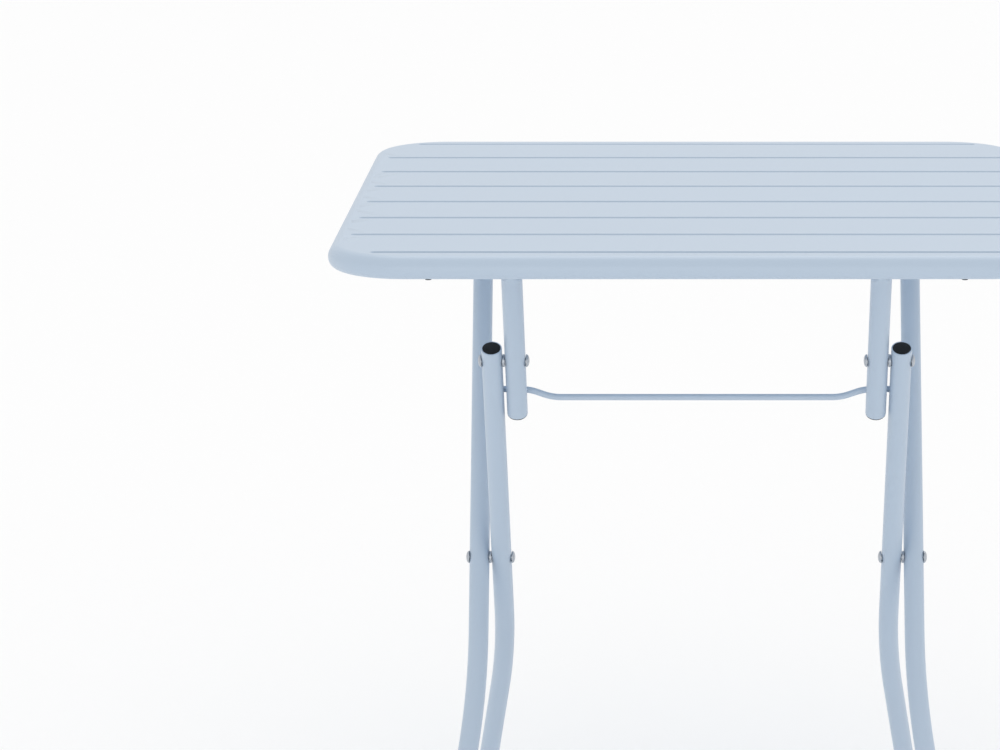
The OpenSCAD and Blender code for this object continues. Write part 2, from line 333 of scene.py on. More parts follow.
coatLook = {"color": (0.468, 0.566, 0.684, 1), "roughness": 0.42, "peelScale": 950.0, "peelDepth": 0.3,
            "drift": 0.05, "coat": 0.22, "coatRoughness": 0.28, "scuffScale": 55.0, "scuffs": 0.12}


def makeBlueCoat(name="bluePowderCoat", **changes):
    look = dict(coatLook, **changes)
    material, tree, shader = newMaterial(name)
    coat = useGroup(tree, coatGroup, {"Color": look["color"], "Peel Scale": look["peelScale"],
                                      "Peel Depth": look["peelDepth"], "Drift": look["drift"],
                                      "Roughness": look["roughness"]})
    scuff = useGroup(tree, scuffGroup, {"Scale": look["scuffScale"], "Amount": look["scuffs"]})
    paler = addNode(tree, "ShaderNodeMix", data_type="RGBA")
    paler.inputs["B"].default_value = (0.60, 0.67, 0.76, 1)
    tree.links.new(scuff.outputs["Mask"], paler.inputs["Factor"])
    tree.links.new(coat.outputs["Color"], paler.inputs["A"])
    tree.links.new(paler.outputs["Result"], shader.inputs["Base Color"])
    tree.links.new(coat.outputs["Roughness"], shader.inputs["Roughness"])
    tree.links.new(coat.outputs["Normal"], shader.inputs["Normal"])
    shader.inputs["Coat Weight"].default_value = look["coat"]
    shader.inputs["Coat Roughness"].default_value = look["coatRoughness"]
    return material


zincLook = {"color": (0.58, 0.61, 0.65, 1), "dull": (0.40, 0.43, 0.47, 1), "roughness": 0.33}


def makeZinc():
    # plated steel: cloudy patches of dull and bright metal with turning marks
    material, tree, shader = newMaterial("zincSteel")
    place = addNode(tree, "ShaderNodeTexCoord")
    cloud = addNode(tree, "ShaderNodeTexNoise", {"Scale": 260.0, "Detail": 5.0, "Roughness": 0.65})
    tree.links.new(place.outputs["Object"], cloud.inputs["Vector"])
    mix = addNode(tree, "ShaderNodeMix", data_type="RGBA")
    mix.inputs["A"].default_value = zincLook["dull"]
    mix.inputs["B"].default_value = zincLook["color"]
    tree.links.new(cloud.outputs["Fac"], mix.inputs["Factor"])
    tree.links.new(mix.outputs["Result"], shader.inputs["Base Color"])
    rough = addNode(tree, "ShaderNodeMath", {1: 0.3, 2: zincLook["roughness"] - 0.12},
                    operation="MULTIPLY_ADD")
    tree.links.new(cloud.outputs["Fac"], rough.inputs[0])
    tree.links.new(rough.outputs["Value"], shader.inputs["Roughness"])
    grain = addNode(tree, "ShaderNodeTexNoise", {"Scale": 2600.0, "Detail": 2.0})
    tree.links.new(place.outputs["Object"], grain.inputs["Vector"])
    bump = addNode(tree, "ShaderNodeBump", {"Strength": 0.2, "Distance": 0.00005})
    tree.links.new(grain.outputs["Fac"], bump.inputs["Height"])
    tree.links.new(bump.outputs["Normal"], shader.inputs["Normal"])
    shader.inputs["Metallic"].default_value = 0.9
    return material


plasticLook = {"color": (0.0065, 0.0067, 0.0069, 1), "roughness": 0.55, "specular": 0.32, "grain": 1500.0,
               "dust": 0.0, "dustHeight": 0.03}


def makePlastic(name, **changes):
    # moulded plastic with a fine spark-eroded grain
    look = dict(plasticLook, **changes)
    material, tree, shader = newMaterial(name)
    place = addNode(tree, "ShaderNodeTexCoord")
    grain = addNode(tree, "ShaderNodeTexNoise", {"Scale": look["grain"], "Detail": 3.0, "Roughness": 0.6})
    tree.links.new(place.outputs["Object"], grain.inputs["Vector"])
    dust = addNode(tree, "ShaderNodeTexNoise", {"Scale": 45.0, "Detail": 5.0, "Roughness": 0.65})
    tree.links.new(place.outputs["Object"], dust.inputs["Vector"])
    mix = addNode(tree, "ShaderNodeMix", data_type="RGBA")
    mix.inputs["A"].default_value = look["color"]
    mix.inputs["B"].default_value = tuple(min(1.0, c * 2.4 + 0.004) for c in look["color"][:3]) + (1,)
    soft = addNode(tree, "ShaderNodeMapRange", {"From Min": 0.4, "From Max": 0.8})
    tree.links.new(dust.outputs["Fac"], soft.inputs["Value"])
    tree.links.new(soft.outputs["Result"], mix.inputs["Factor"])
    # dry dust that has settled just above the floor
    height = addNode(tree, "ShaderNodeSeparateXYZ")
    tree.links.new(place.outputs["Object"], height.inputs["Vector"])
    low = addNode(tree, "ShaderNodeMapRange",
                  {"From Min": look["dustHeight"], "From Max": 0.002, "To Max": look["dust"]})
    tree.links.new(height.outputs["Z"], low.inputs["Value"])
    cover = addNode(tree, "ShaderNodeMath", operation="MULTIPLY")
    tree.links.new(low.outputs["Result"], cover.inputs[0])
    tree.links.new(dust.outputs["Fac"], cover.inputs[1])
    dusty = addNode(tree, "ShaderNodeMix", data_type="RGBA")
    dusty.inputs["B"].default_value = (0.17, 0.155, 0.135, 1)
    tree.links.new(cover.outputs["Value"], dusty.inputs["Factor"])
    tree.links.new(mix.outputs["Result"], dusty.inputs["A"])
    tree.links.new(dusty.outputs["Result"], shader.inputs["Base Color"])
    shader.inputs["Specular IOR Level"].default_value = look["specular"]
    rough = addNode(tree, "ShaderNodeMath", {1: 0.2, 2: look["roughness"] - 0.1}, operation="MULTIPLY_ADD")
    tree.links.new(dust.outputs["Fac"], rough.inputs[0])
    tree.links.new(rough.outputs["Value"], shader.inputs["Roughness"])
    bump = addNode(tree, "ShaderNodeBump", {"Strength": 0.35, "Distance": 0.00008})
    tree.links.new(grain.outputs["Fac"], bump.inputs["Height"])
    tree.links.new(bump.outputs["Normal"], shader.inputs["Normal"])
    return material


blueCoat = makeBlueCoat()
weldCoat = makeBlueCoat("blueWeldCoat", peelDepth=0.8, peelScale=700.0, scuffs=0.0)
# painted shade: a little darker than the rest, standing in for the shade inside the narrow pressed grooves
groovePaintedShade = makeBlueCoat("bluePaintedGrooveShade", color=(0.405, 0.498, 0.610, 1), roughness=0.5, coat=0.12,
                          scuffs=0.0)
zinc = makeZinc()
blackPlastic = makePlastic("blackPlastic")
footPlastic = makePlastic("footPlastic", dust=0.5)
blackRubber = makePlastic("blackRubber", roughness=0.75, grain=900.0)
print("materials made")

# camera, light and floor

imageWide, imageHigh = 1000, 750
view = {"focal": 136.4, "sensor": 36.0, "distance": 3.876, "above": 0.673, "pitch": 12.83,
        "middleX": 696.6, "middleY": 391.0}


def makeCamera():
    data = bpy.data.cameras.new("camera")
    data.lens = view["focal"]
    data.sensor_width = view["sensor"]
    data.shift_x = (imageWide / 2 - view["middleX"]) / imageWide
    data.shift_y = (view["middleY"] - imageHigh / 2) / imageWide
    data.clip_end = 50
    camera = bpy.data.objects.new("camera", data)
    collection.objects.link(camera)
    camera.location = (0, -view["distance"], topSurface + view["above"])
    camera.rotation_euler = (math.radians(90 - view["pitch"]), 0, 0)
    scene.camera = camera


studio = {"world": 0.87, "sun": 0.64, "softness": 50.0, "tilt": -33.0, "swing": 14.0,
          "fill": 14.0, "fillSize": 2.4, "fillPlace": (-0.6, -4.7, 0.8), "fillAim": (0, 0, 0.5),
          "floorReach": 14.0, "floorTone": 0.95}


def makeLights():
    # a white room, with a broad soft light from above and a little behind
    data = bpy.data.lights.new("overhead", "SUN")
    data.energy = studio["sun"]
    data.angle = math.radians(studio["softness"])
    obj = bpy.data.objects.new("overhead", data)
    obj.location = (0, 1.5, 3)
    obj.rotation_euler = (math.radians(studio["tilt"]), math.radians(studio["swing"]), 0)
    collection.objects.link(obj)
    data = bpy.data.lights.new("frontFill", "AREA")
    data.shape = "SQUARE"
    data.size = studio["fillSize"]
    data.energy = studio["fill"]
    obj = bpy.data.objects.new("frontFill", data)
    obj.location = studio["fillPlace"]
    obj.rotation_euler = (Vector(studio["fillAim"]) - obj.location).to_track_quat("-Z", "Y").to_euler()
    collection.objects.link(obj)
    world = bpy.data.worlds.new("studio")
    world.use_nodes = True
    background = world.node_tree.nodes["Background"]
    background.inputs["Color"].default_value = (1.0, 1.0, 1.0, 1)
    background.inputs["Strength"].default_value = studio["world"]
    scene.world = world


def makeFloor():
    reach = studio["floorReach"]
    mesh = meshFrom("floor", [(-reach, -reach, 0), (reach, -reach, 0), (reach, reach, 0), (-reach, reach, 0)],
                    [(0, 1, 2, 3)], smooth=False)
    material, tree, shader = newMaterial("paleFloor")
    shader.inputs["Base Color"].default_value = (studio["floorTone"],) * 3 + (1,)
    shader.inputs["Roughness"].default_value = 0.9
    shader.inputs["Specular IOR Level"].default_value = 0.1
    newObject("floor", mesh, material)


makeCamera()
makeLights()
makeFloor()
# plain sRGB viewing, so that the colours read as they do in the photo
scene.view_settings.view_transform = "Standard"
print("camera, lights and floor made")

# the pressed top

topForm = {"corner": 78 * mm, "edge": 12 * mm, "sheet": 1.2 * mm, "lip": 9.5 * mm, "grooves": 8,
           "pitch": 92.6 * mm, "inset": 17.5 * mm, "borderInset": 44 * mm, "hold": 0.8 * mm,
           "cornerSteps": 24, "sideSteps": 60}
grooveForm = {"round": 5.2 * mm, "shoulder": 1.1 * mm, "depth": 2.0 * mm, "frontDepth": 2.4 * mm,
              "rearDepth": 1.5 * mm, "endSteps": 14, "sideSteps": 72,
              "rings": (1.0, 0.965, 0.92, 0.875, 0.83, 0.72, 0.58, 0.42, 0.24, 0.05)}


def grooveRows():
    # one (y, half length, depth, half width) for each pressed groove
    count = topForm["grooves"]
    half = (topHigh.x - topLow.x) / 2
    rows = []
    for i in range(count):
        last = i in (0, count - 1)
        depth = grooveForm["depth"]
        if last:
            depth = grooveForm["frontDepth" if i == 0 else "rearDepth"]
        reach = grooveForm["round"] + grooveForm["shoulder"]
        wide = math.sqrt(reach ** 2 - (reach - depth) ** 2)
        y = (i - (count - 1) / 2) * topForm["pitch"]
        rows.append((y, half - topForm["borderInset" if last else "inset"] - wide, depth, wide))
    return rows


def grooveSink(away, depth, wide):
    # how far the sheet is pressed down at a distance from the groove's middle line
    radius, shoulder = grooveForm["round"], grooveForm["shoulder"]
    if away >= wide:
        return 0.0
    if away > wide * radius / (radius + shoulder):
        return shoulder - math.sqrt(max(0.0, shoulder ** 2 - (away - wide) ** 2))
    return math.sqrt(radius ** 2 - away ** 2) - (radius - depth)


def outline(inset):
    # the top's rounded rectangle, drawn in by inset, as one closed loop
    halfX = (topHigh.x - topLow.x) / 2
    halfY = (topHigh.y - topLow.y) / 2
    corner = topForm["corner"]
    radius = corner - inset
    signs = [(1, 1), (-1, 1), (-1, -1), (1, -1)]
    arcs = []
    steps = topForm["cornerSteps"]
    for quarter, (sx, sy) in enumerate(signs):
        middle = Vector((sx * (halfX - corner), sy * (halfY - corner)))
        turns = [math.pi / 2 * (quarter + i / steps) for i in range(steps + 1)]
        arcs.append([middle + radius * Vector((math.cos(a), math.sin(a))) for a in turns])
    loop = []
    for quarter in range(4):
        start, end = arcs[quarter][-1], arcs[(quarter + 1) % 4][0]
        loop += arcs[quarter]
        loop += [start.lerp(end, i / topForm["sideSteps"]) for i in range(1, topForm["sideSteps"])]
    return loop


def stadium(y, half, radius):
    # closed loop at one distance round a groove's middle line
    ends, sides = grooveForm["endSteps"], grooveForm["sideSteps"]
    loop = []
    for s in (1, -1):
        for i in range(ends + 1):
            a = math.pi * (i / ends - 0.5)
            loop.append(Vector((s * (half + radius * math.cos(a)), y + s * radius * math.sin(a))))
        for i in range(1, sides):
            loop.append(Vector((s * half * (1 - 2 * i / sides), y + s * radius)))
    return loop


def rimProfile():
    # (inset, depth) pairs: round the bend, down the wall, under the turned-in lip and back up inside
    edge, sheet, lip = topForm["edge"], topForm["sheet"], topForm["lip"]
    low = topSurface - topLow.z - lip
    bend = np.linspace(0, math.pi / 2, 15)
    outside = [(edge - edge * math.sin(a), edge - edge * math.cos(a)) for a in bend[1:]]
    outside += [(lip - lip * math.cos(a), low + lip * math.sin(a)) for a in np.linspace(0, math.pi, 25)]
    tip = 2 * lip - sheet / 2
    turn = [(tip + sheet / 2 * math.cos(a), low - sheet / 2 * math.sin(a))
            for a in np.linspace(0, math.pi, 7)[1:-1]]
    inner = lip - sheet
    inside = [(lip + inner * math.cos(a), low + inner * math.sin(a)) for a in np.linspace(0, math.pi, 25)]
    inner = edge - sheet
    inside += [(edge - inner * math.cos(a), edge - inner * math.sin(a)) for a in bend[:-1]]
    return outside + turn + inside


def makeTop():
    rows = grooveRows()
    points, faces = [], []

    def addLoop(loop, z):
        points.extend((p.x, p.y, z) for p in loop)
        return list(range(len(points) - len(loop), len(points)))

    def bridge(a, b):
        for i in range(len(a)):
            k = (i + 1) % len(a)
            faces.append((a[i], a[k], b[k], b[i]))

    edges = []
    for level in (topSurface, topSurface - topForm["sheet"]):
        border = outline(topForm["edge"])
        held = outline(topForm["edge"] + topForm["hold"])
        outer = addLoop(border, level)
        edges.append(outer)
        loops = [addLoop(held, level)]
        bridge(outer, loops[0])
        for y, half, depth, wide in rows:
            last = addLoop(stadium(y, half, wide + topForm["hold"]), level)
            loops.append(last)
            for step in grooveForm["rings"]:
                ring = addLoop(stadium(y, half, wide * step), level - grooveSink(wide * step, depth, wide))
                bridge(last, ring)
                last = ring
            faces.append(tuple(last))
        # the flat sheet between the held border and the held groove edges
        marks = [i for loop in loops for i in loop]
        flat = [Vector(points[i][:2]) for i in marks]
        rims, base = [], 0
        for loop in loops:
            rims += [(base + i, base + (i + 1) % len(loop)) for i in range(len(loop))]
            base += len(loop)
        _, _, triangles, origin, *_ = delaunay_2d_cdt(flat, rims, [], 0, 1e-7)
        for triangle in triangles:
            corners = [marks[origin[i][0]] for i in triangle]
            x = sum(points[i][0] for i in corners) / 3
            y = sum(points[i][1] for i in corners) / 3
            clear = topForm["hold"] * 0.9
            if all(math.hypot(max(0.0, abs(x) - row[1]), y - row[0]) > row[3] + clear for row in rows):
                faces.append(tuple(corners))
    loops = [edges[0]]
    for inset, depth in rimProfile():
        loops.append(addLoop(outline(inset), topSurface - depth))
    loops.append(edges[1])
    for a, b in zip(loops, loops[1:]):
        bridge(a, b)
    top = newObject("tabletop", meshFrom("tabletop", points, faces), blueCoat)
    # the second material is a darker blue for the groove faces: painted shade inside the pressed grooves
    top.data.materials.append(groovePaintedShade)
    for face in top.data.polygons:
        x, y, z = face.center
        if z > topSurface - topForm["sheet"] - grooveForm["frontDepth"] and face.normal.z > 0:
            if any(math.hypot(max(0.0, abs(x) - row[1]), y - row[0]) < row[3] * 0.94 for row in rows):
                face.material_index = 1
    return finishPiece(top, "tabletop", "blue_powder_coat", "tabletop_sheet")


makeTop()
print("top made")

# bent tubes, swept by geometry nodes


def makeTubeTree():
    tree = bpy.data.node_groups.new("bentTube", "GeometryNodeTree")
    face = tree.interface
    face.new_socket("Geometry", in_out="INPUT", socket_type="NodeSocketGeometry")
    for label, value in [("Radius", 10.5 * mm), ("Bend Radius", 40 * mm)]:
        socket = face.new_socket(label, in_out="INPUT", socket_type="NodeSocketFloat")
        socket.default_value = value
    for label, value in [("Sides", 40), ("Bend Steps", 14)]:
        socket = face.new_socket(label, in_out="INPUT", socket_type="NodeSocketInt")
        socket.default_value = value
    face.new_socket("Material", in_out="INPUT", socket_type="NodeSocketMaterial")
    face.new_socket("Geometry", in_out="OUTPUT", socket_type="NodeSocketGeometry")
    link = tree.links.new
    start = tree.nodes.new("NodeGroupInput")
    end = tree.nodes.new("NodeGroupOutput")
    fillet = tree.nodes.new("GeometryNodeFilletCurve")
    fillet.mode = "POLY"
    fillet.inputs["Limit Radius"].default_value = True
    circle = tree.nodes.new("GeometryNodeCurvePrimitiveCircle")
    sweep = tree.nodes.new("GeometryNodeCurveToMesh")
    sweep.inputs["Fill Caps"].default_value = True
    real = tree.nodes.new("GeometryNodeRealizeInstances")
    paint = tree.nodes.new("GeometryNodeSetMaterial")
    link(start.outputs["Geometry"], fillet.inputs["Curve"])
    link(start.outputs["Bend Radius"], fillet.inputs["Radius"])
    link(start.outputs["Bend Steps"], fillet.inputs["Count"])
    link(start.outputs["Radius"], circle.inputs["Radius"])
    link(start.outputs["Sides"], circle.inputs["Resolution"])
    link(fillet.outputs["Curve"], sweep.inputs["Curve"])
    link(circle.outputs["Curve"], sweep.inputs["Profile Curve"])
    link(sweep.outputs["Mesh"], real.inputs["Geometry"])
    link(real.outputs["Geometry"], paint.inputs["Geometry"])
    link(start.outputs["Material"], paint.inputs["Material"])
    link(paint.outputs["Geometry"], end.inputs["Geometry"])
    return tree


tubeTree = makeTubeTree()


def sweepTube(name, paths, radius, bend, material, sides=40, steps=14):
    curve = bpy.data.curves.new(name + "Path", "CURVE")
    curve.dimensions = "3D"
    for path in paths:
        spline = curve.splines.new("POLY")
        spline.points.add(len(path) - 1)
        for point, p in zip(spline.points, path):
            point.co = (p.x, p.y, p.z, 1)
    obj = bpy.data.objects.new(name + "Path", curve)
    collection.objects.link(obj)
    piece = applyTree(obj, tubeTree,
                      {"Radius": radius, "Bend Radius": bend, "Sides": sides, "Bend Steps": steps,
                       "Material": material}, name, material)
    bpy.data.curves.remove(curve)
    cleanMesh(piece.data, 1e-6)
    sharpen(piece.data)
    return piece


legForm = {"splay": 8.2, "splayStart": 80 * mm, "splayLength": 120 * mm, "bow": 42 * mm,
           "overKnee": 16.5 * mm, "tubeBack": 10 * mm, "wall": 1.2 * mm}


def splayBend():
    # a leg's lower bend: its angle, its radius and where it ends in the leg's own frame
    splay = math.radians(legForm["splay"])
    radius = legForm["splayLength"] / splay
    end = Vector((radius * (1 - math.cos(splay)), 0, -legForm["splayStart"] - radius * math.sin(splay)))
    return splay, radius, end


def legPath(up, top, bow):
    # points of a right leg in its own frame, from the foot to its upper end
    lean = math.acos(up.z)
    splay, radius, bendEnd = splayBend()
    start = legForm["splayStart"]
    below = Vector((math.sin(splay), 0, -math.cos(splay)))
    rest = (cross.z / math.cos(lean) + bendEnd.z) / math.cos(splay) - legForm["tubeBack"]
    points = [bendEnd + below * rest, bendEnd + below * rest * 0.5]
    steps = 24
    for i in range(steps, -1, -1):
        a = splay * i / steps
        points.append(Vector((radius * (1 - math.cos(a)), 0, -start - radius * math.sin(a))))
    points.append(Vector((0, 0, top - (bow or 0))))
    if bow:
        for i in range(1, 19):
            a = math.pi / 2 * i / 18
            points.append(Vector((-bow + bow * math.cos(a), 0, top - bow + bow * math.sin(a))))
    return points


def openEnd(piece, tip, up, depth):
    # hollows a tube's upper end, so that its wall shows round the cap
    work = bmesh.new()
    work.from_mesh(piece.data)
    caps = [f for f in work.faces if len(f.verts) > 8 and (f.calc_center_median() - tip).length < 3 * mm]
    for cap in caps:
        bmesh.ops.inset_region(work, faces=[cap], thickness=legForm["wall"] * 0.25, depth=0.35 * mm)
        bmesh.ops.inset_region(work, faces=[cap], thickness=legForm["wall"] * 0.75, depth=0)
        pushed = bmesh.ops.extrude_face_region(work, geom=[cap])
        moved = [g for g in pushed["geom"] if isinstance(g, bmesh.types.BMVert)]
        bmesh.ops.translate(work, verts=moved, vec=-up * depth)
        bmesh.ops.delete(work, geom=[cap], context="FACES_ONLY")
    bmesh.ops.recalc_face_normals(work, faces=work.faces)
    work.to_mesh(piece.data)
    work.free()
    sharpen(piece.data)


def makeLegs():
    kneeLength = (knee - cross).length
    for side, sign in (("right", 1), ("left", -1)):
        place = legFrame(innerUp, cross, innerX)
        path = [place @ p for p in legPath(innerUp, kneeLength + legForm["overKnee"], None)]
        path = path if sign > 0 else mirrorCopy(path)
        leg = sweepTube("innerLeg_" + side, [path], tubeRadius, 0.0, blueCoat)
        openEnd(leg, path[-1], innerUp, 9 * mm)
        finishPiece(leg, "inner_legs", "blue_powder_coat", "inner_leg_" + side)
        place = legFrame(outerUp, cross, outerX)
        path = [place @ p for p in legPath(outerUp, barHeight, legForm["bow"])]
        path = path if sign > 0 else mirrorCopy(path)
        leg = sweepTube("outerLeg_" + side, [path], tubeRadius, 0.0, blueCoat)
        finishPiece(leg, "outer_legs", "blue_powder_coat", "outer_leg_" + side)
    half = outerX - legForm["bow"]
    ends = [barMiddle + Vector((-half, 0, 0)), barMiddle + Vector((half, 0, 0))]
    bar = sweepTube("crossbar", [ends], tubeRadius, 0.0, blueCoat)
    finishPiece(bar, "outer_legs", "blue_powder_coat", "outer_crossbar")


makeLegs()
print("legs made")

# struts: tube pressed flat into an eye

strutForm = {"tail": 72 * mm, "eyeRadius": 11 * mm, "eyeThick": 6 * mm, "flatLength": 12 * mm,
             "taper": 13 * mm, "sides": 48}


def strutSection(z, length):
    # half width across the leg and half thickness along X of the strut's section at z
    flatStart = length - strutForm["flatLength"]
    taperStart = flatStart - strutForm["taper"]
    t = min(1.0, max(0.0, (z - taperStart) / strutForm["taper"]))
    t = t * t * (3 - 2 * t)
    thick = tubeRadius + (strutForm["eyeThick"] / 2 - tubeRadius) * t
    wide = tubeRadius + (strutForm["eyeRadius"] + 0.6 * mm - tubeRadius) * t
    if z > length:
        wide = min(wide, math.sqrt(max(0.0, strutForm["eyeRadius"] ** 2 - (z - length) ** 2)))
    return wide, thick, t


def strutRing(z, length):
    wide, thick, t = strutSection(z, length)
    power = 2 + 4 * t                       # round section that turns into a flat one with full edges
    ring = []
    for i in range(strutForm["sides"]):
        a = 2 * math.pi * i / strutForm["sides"]
        c, s = math.cos(a), math.sin(a)
        x = math.copysign(abs(c) ** (2 / power), c) * thick
        y = math.copysign(abs(s) ** (2 / power), s) * wide
        ring.append(Vector((x, y, z)))
    return ring


def makeStrut(side, sign):
    length = (hinge - knee).length
    place = legFrame(innerUp, knee, strutX)
    tail = -strutForm["tail"]
    wall = legForm["wall"]
    rise = [tail + 0.3 * mm] + list(np.linspace(tail + 4 * mm, length - 40 * mm, 14))
    rise += list(np.linspace(length - 36 * mm, length, 19))
    rise += [length + strutForm["eyeRadius"] * math.sin(a) for a in np.linspace(0.12, 1.45, 10)]
    rings = [[Vector((p.x * 0.965, p.y * 0.965, tail)) for p in strutRing(tail, length)]]
    rings += [strutRing(z, length) for z in rise]
    bore = (tubeRadius - wall) / tubeRadius
    inside = [[Vector((p.x * bore, p.y * bore, z)) for p in strutRing(tail, length)]
              for z in (tail + 14 * mm, tail)]
    rings = inside + rings
    sides = strutForm["sides"]
    points = [place @ p for ring in rings for p in ring]
    if sign < 0:
        points = mirrorCopy(points)
    mesh = meshFrom("strut_" + side, points, ringFaces(len(rings), sides))
    sharpen(mesh, 40)
    strut = newObject("strut_" + side, mesh, blueCoat)
    return finishPiece(strut, "struts", "blue_powder_coat", "strut_" + side)


for sideName, sideSign in (("right", 1), ("left", -1)):
    makeStrut(sideName, sideSign)
print("struts made")

# turned parts: rivets and washers


def lathe(profile, steps=48):
    # closed solid turned about local X; profile runs from axis to axis as (x, radius)
    points, faces, rows = [], [], []
    for x, r in profile:
        if r < 1e-9:
            rows.append([len(points)])
            points.append(Vector((x, 0, 0)))
            continue
        rows.append(list(range(len(points), len(points) + steps)))
        for i in range(steps):
            a = 2 * math.pi * i / steps
            points.append(Vector((x, r * math.cos(a), r * math.sin(a))))
    for a, b in zip(rows, rows[1:]):
        for i in range(steps):
            k = (i + 1) % steps
            if len(a) == 1:
                faces.append((a[0], b[k], b[i]))
            elif len(b) == 1:
                faces.append((a[i], a[k], b[0]))
            else:
                faces.append((a[i], a[k], b[k], b[i]))
    return points, faces


def headCurve(radius, height, steps=9):
    # (height above the seat, radius) from the rim of a domed head to its pole, with a small upright lip
    lip = height * 0.14
    curve = [(0.0, radius - 0.35 * mm), (lip * 0.5, radius), (lip, radius)]
    for i in range(1, steps + 1):
        a = math.pi / 2 * i / steps
        curve.append((lip + (height - lip) * math.sin(a), radius * math.cos(a) if i < steps else 0.0))
    return curve


def rivetProfile(length, shank, headRadius, headHeight):
    head = headCurve(headRadius, headHeight)
    left = [(-length / 2 - h, r) for h, r in reversed(head)]
    right = [(length / 2 + h, r) for h, r in head]
    return left + [(-length / 2, shank), (length / 2, shank)] + right


def makeCopyTree():
    # a copy of one part on every point, turned by the point's own "turn" angles
    tree = bpy.data.node_groups.new("copiesAtPoints", "GeometryNodeTree")
    face = tree.interface
    face.new_socket("Geometry", in_out="INPUT", socket_type="NodeSocketGeometry")
    face.new_socket("Part", in_out="INPUT", socket_type="NodeSocketObject")
    face.new_socket("Size", in_out="INPUT", socket_type="NodeSocketFloat").default_value = 1.0
    face.new_socket("Material", in_out="INPUT", socket_type="NodeSocketMaterial")
    face.new_socket("Geometry", in_out="OUTPUT", socket_type="NodeSocketGeometry")
    link = tree.links.new
    start = tree.nodes.new("NodeGroupInput")
    end = tree.nodes.new("NodeGroupOutput")
    part = tree.nodes.new("GeometryNodeObjectInfo")
    turn = tree.nodes.new("GeometryNodeInputNamedAttribute")
    turn.data_type = "FLOAT_VECTOR"
    turn.inputs["Name"].default_value = "turn"
    euler = tree.nodes.new("FunctionNodeEulerToRotation")
    copies = tree.nodes.new("GeometryNodeInstanceOnPoints")
    real = tree.nodes.new("GeometryNodeRealizeInstances")
    paint = tree.nodes.new("GeometryNodeSetMaterial")
    link(start.outputs["Part"], part.inputs["Object"])
    link(start.outputs["Geometry"], copies.inputs["Points"])
    link(part.outputs["Geometry"], copies.inputs["Instance"])
    link(turn.outputs["Attribute"], euler.inputs["Euler"])
    link(start.outputs["Size"], copies.inputs["Scale"])
    link(euler.outputs["Rotation"], copies.inputs["Rotation"])
    link(copies.outputs["Instances"], real.inputs["Geometry"])
    link(real.outputs["Geometry"], paint.inputs["Geometry"])
    link(start.outputs["Material"], paint.inputs["Material"])
    link(paint.outputs["Geometry"], end.inputs["Geometry"])
    return tree


copyTree = makeCopyTree()


def placeCopies(name, pattern, places, turns, material, angle=35):
    points, faces = pattern
    template = newObject(name + "Pattern", meshFrom(name + "Pattern", points, faces), material)
    mesh = bpy.data.meshes.new(name + "Spots")
    mesh.from_pydata([tuple(p) for p in places], [], [])
    turn = mesh.attributes.new("turn", "FLOAT_VECTOR", "POINT")
    for item, value in zip(turn.data, turns):
        item.vector = value
    spots = newObject(name + "Spots", mesh)
    piece = applyTree(spots, copyTree, {"Part": template, "Size": 1.0, "Material": material}, name, material)
    old = template.data
    bpy.data.objects.remove(template)
    bpy.data.meshes.remove(old)
    sharpen(piece.data, angle)
    return piece


fixings = {"shank": 3.0 * mm, "head": 6.5 * mm, "headHeight": 3.6 * mm, "hole": 3.05 * mm, "gap": 0.3 * mm,
           "pinHead": 5.5 * mm, "pinHeadHeight": 2.4 * mm, "smallHead": 4.0 * mm, "smallHeight": 1.6 * mm,
           "smallShank": 2.0 * mm}


def washerProfile(length, outer, inner):
    soft = 0.25 * mm
    return [(-length / 2, inner), (-length / 2, outer - soft), (-length / 2 + soft, outer),
            (length / 2 - soft, outer), (length / 2, outer - soft), (length / 2, inner), (-length / 2, inner)]


def bothSides(place):
    return [(place.x, place.y, place.z), (-place.x, place.y, place.z)]


def makeFixings():
    level = [(0.0, 0.0, 0.0)] * 2
    pivots = (("kneeRivets", "inner_legs", strutX, innerX, knee),
              ("crossRivets", "outer_legs", innerX, outerX, cross))
    for name, body, inner, outer, pivot in pivots:
        left, right = inner - tubeRadius - fixings["gap"], outer + tubeRadius
        shape = lathe(rivetProfile(right - left, fixings["shank"], fixings["head"], fixings["headHeight"]))
        spots = bothSides(Vector(((left + right) / 2, pivot.y, pivot.z)))
        rivets = placeCopies(name, shape, spots, level, zinc)
        finishPiece(rivets, body, "zinc_steel", name.replace("Rivets", "_rivets"))
        left, right = inner + tubeRadius + fixings["gap"], outer - tubeRadius
        shape = lathe(washerProfile(right - left, fixings["head"], fixings["hole"]))
        spots = bothSides(Vector(((left + right) / 2, pivot.y, pivot.z)))
        washers = placeCopies(name.replace("Rivets", "Washers"), shape, spots, level, zinc)
        finishPiece(washers, body, "zinc_steel", name.replace("Rivets", "_washers"))
    low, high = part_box("front_hinge_pins")
    pinLength = 2 * (high.x - strutX - fixings["pinHeadHeight"])
    shape = lathe(rivetProfile(pinLength, fixings["shank"], fixings["pinHead"], fixings["pinHeadHeight"]))
    pins = placeCopies("hingePins", shape, bothSides(Vector((strutX, hinge.y, hinge.z))), level, zinc)
    finishPiece(pins, "tabletop", "zinc_steel", "front_hinge_pins")
    low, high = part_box("bracket_rivets")
    grip = high.z - low.z - 2 * fixings["smallHeight"]
    shape = lathe(rivetProfile(grip, fixings["smallShank"], fixings["smallHead"], fixings["smallHeight"]), 32)
    spots = []
    step = (high.y - low.y - 2 * fixings["smallHead"] - (barMiddle.y - hinge.y)) / 2
    for x, y in ((strutX, hinge.y), (boxMiddle("rear_saddle_right").x, barMiddle.y)):
        for s in (-1, 1):
            spots += bothSides(Vector((x, y + s * step, (low.z + high.z) / 2)))
    rivets = placeCopies("bracketRivets", shape, spots, [(0.0, math.pi / 2, 0.0)] * len(spots), zinc)
    finishPiece(rivets, "tabletop", "zinc_steel", "bracket_rivets")


makeFixings()
print("rivets, pins and washers made")

# welds and the stop rod

